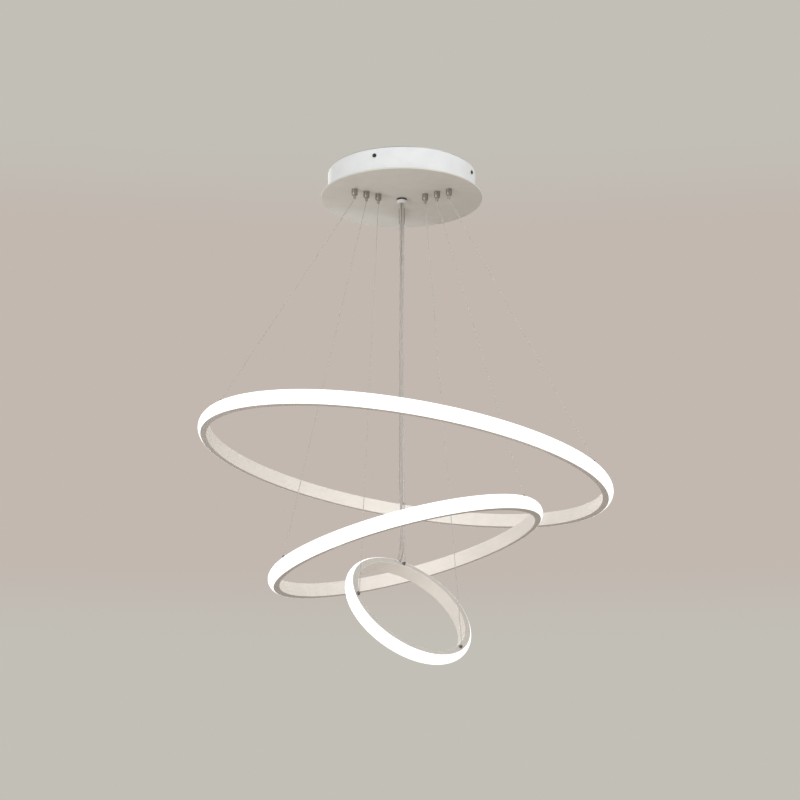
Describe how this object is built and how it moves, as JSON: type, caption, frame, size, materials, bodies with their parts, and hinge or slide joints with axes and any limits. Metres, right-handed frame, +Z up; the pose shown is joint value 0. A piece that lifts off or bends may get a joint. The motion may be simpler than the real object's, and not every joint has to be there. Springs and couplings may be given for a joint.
{
  "type": "led ring chandelier",
  "caption": "Pendant light with nested tilted LED rings of falling size, hung on thin steel wires and clear flexes from a flat round white ceiling canopy.",
  "frame": {"origin": "centre of the ceiling plate where it meets the ceiling, midway between its two screw holes", "axes": "+Z up towards the ceiling, -Y towards the viewer of the picture, +X to the right"},
  "size_m": [0.592, 0.5998, 0.7365],
  "materials": {
    "white_paint": "satin white powder coat",
    "ring_paint": "satin white powder coat",
    "opal_cover": "opal, lit from inside",
    "zinc_steel": "zinc plated",
    "dark_screw": "blackened",
    "nickel": "nickel plated",
    "dark_nickel": "dark nickel",
    "wire_steel": "stranded steel wire",
    "white_plastic": "fine textured",
    "clear_rubber": "pale translucent",
    "lead_cover": "smooth insulation",
    "clear_cover": "clear two-core flex",
    "led_board": "white board with chips"
  },
  "bodies": {
    "canopy": {"ceiling_plate": "zinc_steel", "canopy_drum": "white_paint", "canopy_plate": "white_paint", "plate_nuts": "zinc_steel", "side_screws": "dark_screw", "driver_case": "white_plastic", "driver_lid": "white_plastic", "driver_screws": "zinc_steel", "terminal_block": "white_plastic", "supply_leads": "lead_cover", "flex_tails": "clear_cover", "gland_body": "white_plastic", "gland_nut": "zinc_steel", "gland_seal": "clear_rubber", "gripper_bodies": "nickel", "gripper_nuts": "nickel", "gripper_springs": "nickel", "wire_tails": "wire_steel", "large_wires": "wire_steel", "middle_wires": "wire_steel", "small_wires": "wire_steel", "large_flex": "clear_cover", "middle_flex": "clear_cover", "small_flex": "clear_cover"},
    "large_ring": {"large_channel": "ring_paint", "large_diffuser": "opal_cover", "large_led_strip": "led_board", "large_splice_plate": "wire_steel", "large_splice_screws": "wire_steel", "large_wire_nipples": "dark_nickel", "large_wire_stops": "wire_steel", "large_grommet": "clear_rubber", "large_lead": "clear_cover"},
    "middle_ring": {"middle_channel": "ring_paint", "middle_diffuser": "opal_cover", "middle_led_strip": "led_board", "middle_splice_plate": "wire_steel", "middle_splice_screws": "wire_steel", "middle_wire_nipples": "dark_nickel", "middle_wire_stops": "wire_steel", "middle_grommet": "clear_rubber", "middle_lead": "clear_cover"},
    "small_ring": {"small_channel": "ring_paint", "small_diffuser": "opal_cover", "small_led_strip": "led_board", "small_splice_plate": "wire_steel", "small_splice_screws": "wire_steel", "small_wire_nipples": "dark_nickel", "small_wire_stops": "wire_steel", "small_grommet": "clear_rubber", "small_lead": "clear_cover"},
    "plunger_large_far": {"plunger_large_far": "nickel"},
    "plunger_large_left": {"plunger_large_left": "nickel"},
    "plunger_large_right": {"plunger_large_right": "nickel"},
    "plunger_middle_far": {"plunger_middle_far": "nickel"},
    "plunger_middle_left": {"plunger_middle_left": "nickel"},
    "plunger_middle_right": {"plunger_middle_right": "nickel"},
    "plunger_small_far": {"plunger_small_far": "nickel"},
    "plunger_small_left": {"plunger_small_left": "nickel"},
    "plunger_small_right": {"plunger_small_right": "nickel"}
  },
  "joints": [
    {"name": "large_ring_height", "type": "slide", "parent": "canopy", "child": "large_ring", "axis": [0, 0, 1], "range_m": [-0.1, 0.1], "deforming": ["large_wires", "large_flex"]},
    {"name": "middle_ring_height", "type": "slide", "parent": "canopy", "child": "middle_ring", "axis": [0, 0, 1], "range_m": [-0.075, 0.1], "deforming": ["middle_wires", "middle_flex"]},
    {"name": "small_ring_height", "type": "slide", "parent": "canopy", "child": "small_ring", "axis": [0, 0, 1], "range_m": [-0.05, 0.1], "deforming": ["small_wires", "small_flex"]},
    {"name": "press_large_far", "type": "slide", "parent": "canopy", "child": "plunger_large_far", "axis": [0, 0, 1], "range_m": [0, 0.002], "stiffness_N_per_m": 800, "springref_m": -0.004, "deforming": ["gripper_springs"]},
    {"name": "press_large_left", "type": "slide", "parent": "canopy", "child": "plunger_large_left", "axis": [0, 0, 1], "range_m": [0, 0.002], "stiffness_N_per_m": 800, "springref_m": -0.004, "deforming": ["gripper_springs"]},
    {"name": "press_large_right", "type": "slide", "parent": "canopy", "child": "plunger_large_right", "axis": [0, 0, 1], "range_m": [0, 0.002], "stiffness_N_per_m": 800, "springref_m": -0.004, "deforming": ["gripper_springs"]},
    {"name": "press_middle_far", "type": "slide", "parent": "canopy", "child": "plunger_middle_far", "axis": [0, 0, 1], "range_m": [0, 0.002], "stiffness_N_per_m": 800, "springref_m": -0.004, "deforming": ["gripper_springs"]},
    {"name": "press_middle_left", "type": "slide", "parent": "canopy", "child": "plunger_middle_left", "axis": [0, 0, 1], "range_m": [0, 0.002], "stiffness_N_per_m": 800, "springref_m": -0.004, "deforming": ["gripper_springs"]},
    {"name": "press_middle_right", "type": "slide", "parent": "canopy", "child": "plunger_middle_right", "axis": [0, 0, 1], "range_m": [0, 0.002], "stiffness_N_per_m": 800, "springref_m": -0.004, "deforming": ["gripper_springs"]},
    {"name": "press_small_far", "type": "slide", "parent": "canopy", "child": "plunger_small_far", "axis": [0, 0, 1], "range_m": [0, 0.002], "stiffness_N_per_m": 800, "springref_m": -0.004, "deforming": ["gripper_springs"]},
    {"name": "press_small_left", "type": "slide", "parent": "canopy", "child": "plunger_small_left", "axis": [0, 0, 1], "range_m": [0, 0.002], "stiffness_N_per_m": 800, "springref_m": -0.004, "deforming": ["gripper_springs"]},
    {"name": "press_small_right", "type": "slide", "parent": "canopy", "child": "plunger_small_right", "axis": [0, 0, 1], "range_m": [0, 0.002], "stiffness_N_per_m": 800, "springref_m": -0.004, "deforming": ["gripper_springs"]}
  ]
}
